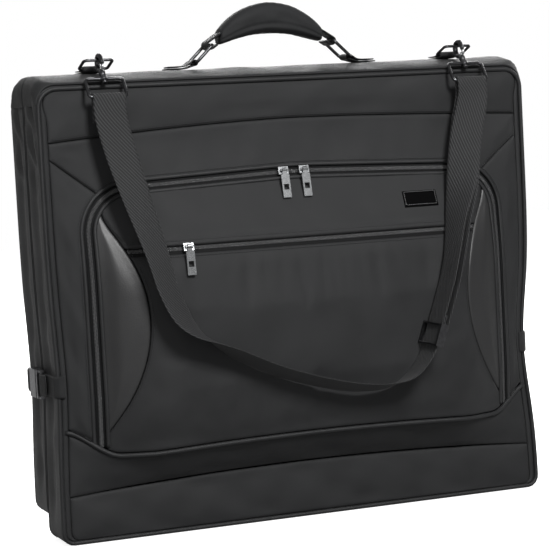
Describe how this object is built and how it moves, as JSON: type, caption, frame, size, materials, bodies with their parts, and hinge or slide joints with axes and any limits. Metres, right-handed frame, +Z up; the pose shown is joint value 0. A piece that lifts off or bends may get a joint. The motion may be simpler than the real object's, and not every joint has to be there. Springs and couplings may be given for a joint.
{
  "type": "garment bag",
  "caption": "Soft bi-fold garment bag that folds over its top, with zipped front pocket, padded carry handle, clip-on shoulder strap and side release buckles.",
  "frame": {"origin": "centre of the front half's flat bottom edge", "axes": "+X across the bag to its right as seen from the front, -Y is the front, +Z up"},
  "size_m": [0.6173, 0.2316, 0.6095],
  "materials": {
    "polyester": "woven polyester, matt",
    "leather_trim": "smooth, semi-gloss",
    "webbing": "twill webbing",
    "lining": "plain lining",
    "zip_tape": "nylon coil on tape",
    "bright_steel": "bright nickel",
    "gunmetal": "dark plated, semi-gloss",
    "stiffener": "matt board"
  },
  "bodies": {
    "front_half": {"front_surround": "polyester", "upper_flap": "polyester", "pocket_panel": "polyester", "pocket_underside": "polyester", "front_hem": "polyester", "crescent_left": "leather_trim", "crescent_right": "leather_trim", "main_zip": "zip_tape", "pocket_zip": "zip_tape", "front_piping": "polyester", "pocket_piping": "polyester", "front_gusset": "polyester", "front_lining": "lining", "label_patch": "leather_trim", "buckle_plug_left": "gunmetal", "buckle_plug_right": "gunmetal", "buckle_strap_front_left": "webbing", "buckle_strap_front_right": "webbing"},
    "spine": {"spine_panel": "polyester", "spine_board": "stiffener", "ring_tab_left": "webbing", "ring_tab_right": "webbing", "handle_tab_left": "webbing", "handle_tab_right": "webbing"},
    "back_half": {"back_panel": "polyester", "back_piping": "polyester", "back_gusset": "polyester", "back_lining": "lining", "back_zip": "zip_tape", "garment_strap": "webbing", "hanger_clamp_base": "gunmetal", "buckle_socket_left": "gunmetal", "buckle_socket_right": "gunmetal", "buckle_strap_back_left": "webbing", "buckle_strap_back_right": "webbing"},
    "hanger_clamp_jaw": {"hanger_clamp_jaw": "gunmetal"},
    "handle_ring_left": {"handle_ring_left": "gunmetal"},
    "handle_ring_right": {"handle_ring_right": "gunmetal"},
    "carry_handle": {"handle_webbing": "webbing", "handle_grip": "polyester"},
    "d_ring_left": {"d_ring_left": "gunmetal"},
    "d_ring_right": {"d_ring_right": "gunmetal"},
    "shoulder_strap": {"shoulder_webbing": "webbing", "hook_left": "gunmetal", "hook_right": "gunmetal", "strap_loop_left": "gunmetal", "strap_loop_right": "gunmetal"},
    "hook_gate_left": {"hook_gate_left": "bright_steel"},
    "hook_gate_right": {"hook_gate_right": "bright_steel"},
    "strap_adjuster": {"strap_adjuster": "gunmetal"},
    "main_left_slider": {"main_left_slider": "bright_steel"},
    "main_left_pull": {"main_left_pull": "bright_steel"},
    "main_right_slider": {"main_right_slider": "bright_steel"},
    "main_right_pull": {"main_right_pull": "bright_steel"},
    "pocket_slider": {"pocket_slider": "bright_steel"},
    "pocket_pull": {"pocket_pull": "bright_steel"},
    "back_slider": {"back_slider": "bright_steel"},
    "back_pull": {"back_pull": "bright_steel"}
  },
  "joints": [
    {"name": "spine_fold", "type": "hinge", "parent": "front_half", "child": "spine", "pos_m": [0, -0.028, 0.521], "axis": [1, 0, 0], "range_deg": [0, 90]},
    {"name": "back_fold", "type": "hinge", "parent": "spine", "child": "back_half", "pos_m": [0, 0.088, 0.521], "axis": [1, 0, 0], "range_deg": [0, 90]},
    {"name": "d_ring_left_swing", "type": "hinge", "parent": "spine", "child": "d_ring_left", "pos_m": [-0.226, 0.008, 0.538], "axis": [-1, 0, 0], "range_deg": [0, 90]},
    {"name": "d_ring_right_swing", "type": "hinge", "parent": "spine", "child": "d_ring_right", "pos_m": [0.226, 0.008, 0.538], "axis": [-1, 0, 0], "range_deg": [0, 90]},
    {"name": "strap_lift", "type": "hinge", "parent": "d_ring_left", "child": "shoulder_strap", "pos_m": [-0.226, -0.017, 0.547], "axis": [-1, 0, 0], "range_deg": [0, 150]},
    {"name": "hook_left_gate_press", "type": "hinge", "parent": "shoulder_strap", "child": "hook_gate_left", "pos_m": [-0.226, -0.03104, 0.53622], "axis": [-1, 0, 0], "range_deg": [0, 25], "stiffness_Nm_per_rad": 0.02},
    {"name": "hook_right_gate_press", "type": "hinge", "parent": "shoulder_strap", "child": "hook_gate_right", "pos_m": [0.226, -0.03104, 0.53622], "axis": [-1, 0, 0], "range_deg": [0, 25], "stiffness_Nm_per_rad": 0.02},
    {"name": "adjuster_slide", "type": "slide", "parent": "shoulder_strap", "child": "strap_adjuster", "axis": [0.3371, 0, 0.9415], "range_m": [0, 0.035]},
    {"name": "handle_sway", "type": "hinge", "parent": "spine", "child": "handle_ring_left", "pos_m": [-0.098, 0.03, 0.541], "axis": [0, 1, 0], "range_deg": [-12, 12]},
    {"name": "handle_ring_right_sway", "type": "hinge", "parent": "spine", "child": "handle_ring_right", "pos_m": [0.098, 0.03, 0.541], "axis": [0, 1, 0], "range_deg": [-12, 12]},
    {"name": "handle_level", "type": "hinge", "parent": "handle_ring_left", "child": "carry_handle", "pos_m": [-0.077, 0.03, 0.561], "axis": [0, 1, 0], "range_deg": [-15.5, 15.5]},
    {"name": "main_left_zip", "type": "slide", "parent": "front_half", "child": "main_left_slider", "axis": [-0.9993, -0.0113, -0.0356], "range_m": [0, 0.13]},
    {"name": "main_left_pull_swing", "type": "hinge", "parent": "main_left_slider", "child": "main_left_pull", "pos_m": [-0.018, -0.04319, 0.41125], "axis": [-1, 0, 0], "range_deg": [0, 120]},
    {"name": "main_right_zip", "type": "slide", "parent": "front_half", "child": "main_right_slider", "axis": [0.9994, -0.0108, -0.0343], "range_m": [0, 0.13]},
    {"name": "main_right_pull_swing", "type": "hinge", "parent": "main_right_slider", "child": "main_right_pull", "pos_m": [0.008, -0.04313, 0.41144], "axis": [-1, 0, 0], "range_deg": [0, 120]},
    {"name": "pocket_zip_slide", "type": "slide", "parent": "front_half", "child": "pocket_slider", "axis": [1, 0, 0], "range_m": [0, 0.3]},
    {"name": "pocket_pull_swing", "type": "hinge", "parent": "pocket_slider", "child": "pocket_pull", "pos_m": [-0.149, -0.07332, 0.3328], "axis": [-1, 0, 0], "range_deg": [0, 120]},
    {"name": "back_zip_slide", "type": "slide", "parent": "back_half", "child": "back_slider", "axis": [-1, 0, 0], "range_m": [0, 0.36]},
    {"name": "back_pull_swing", "type": "hinge", "parent": "back_slider", "child": "back_pull", "pos_m": [0.185, 0.1042, 0.33], "axis": [1, 0, 0], "range_deg": [0, 120]},
    {"name": "clamp_jaw_open", "type": "hinge", "parent": "back_half", "child": "hanger_clamp_jaw", "pos_m": [0, 0.072, 0.068], "axis": [-1, 0, 0], "range_deg": [0, 70]}
  ],
  "couplings": [
    {"joint": "back_fold", "follows": "spine_fold", "ratio": 1},
    {"joint": "d_ring_left_swing", "follows": "spine_fold", "ratio": 1},
    {"joint": "d_ring_right_swing", "follows": "spine_fold", "ratio": 1},
    {"joint": "handle_ring_right_sway", "follows": "handle_sway", "ratio": 1},
    {"joint": "handle_level", "follows": "handle_sway", "ratio": -1.2727}
  ]
}
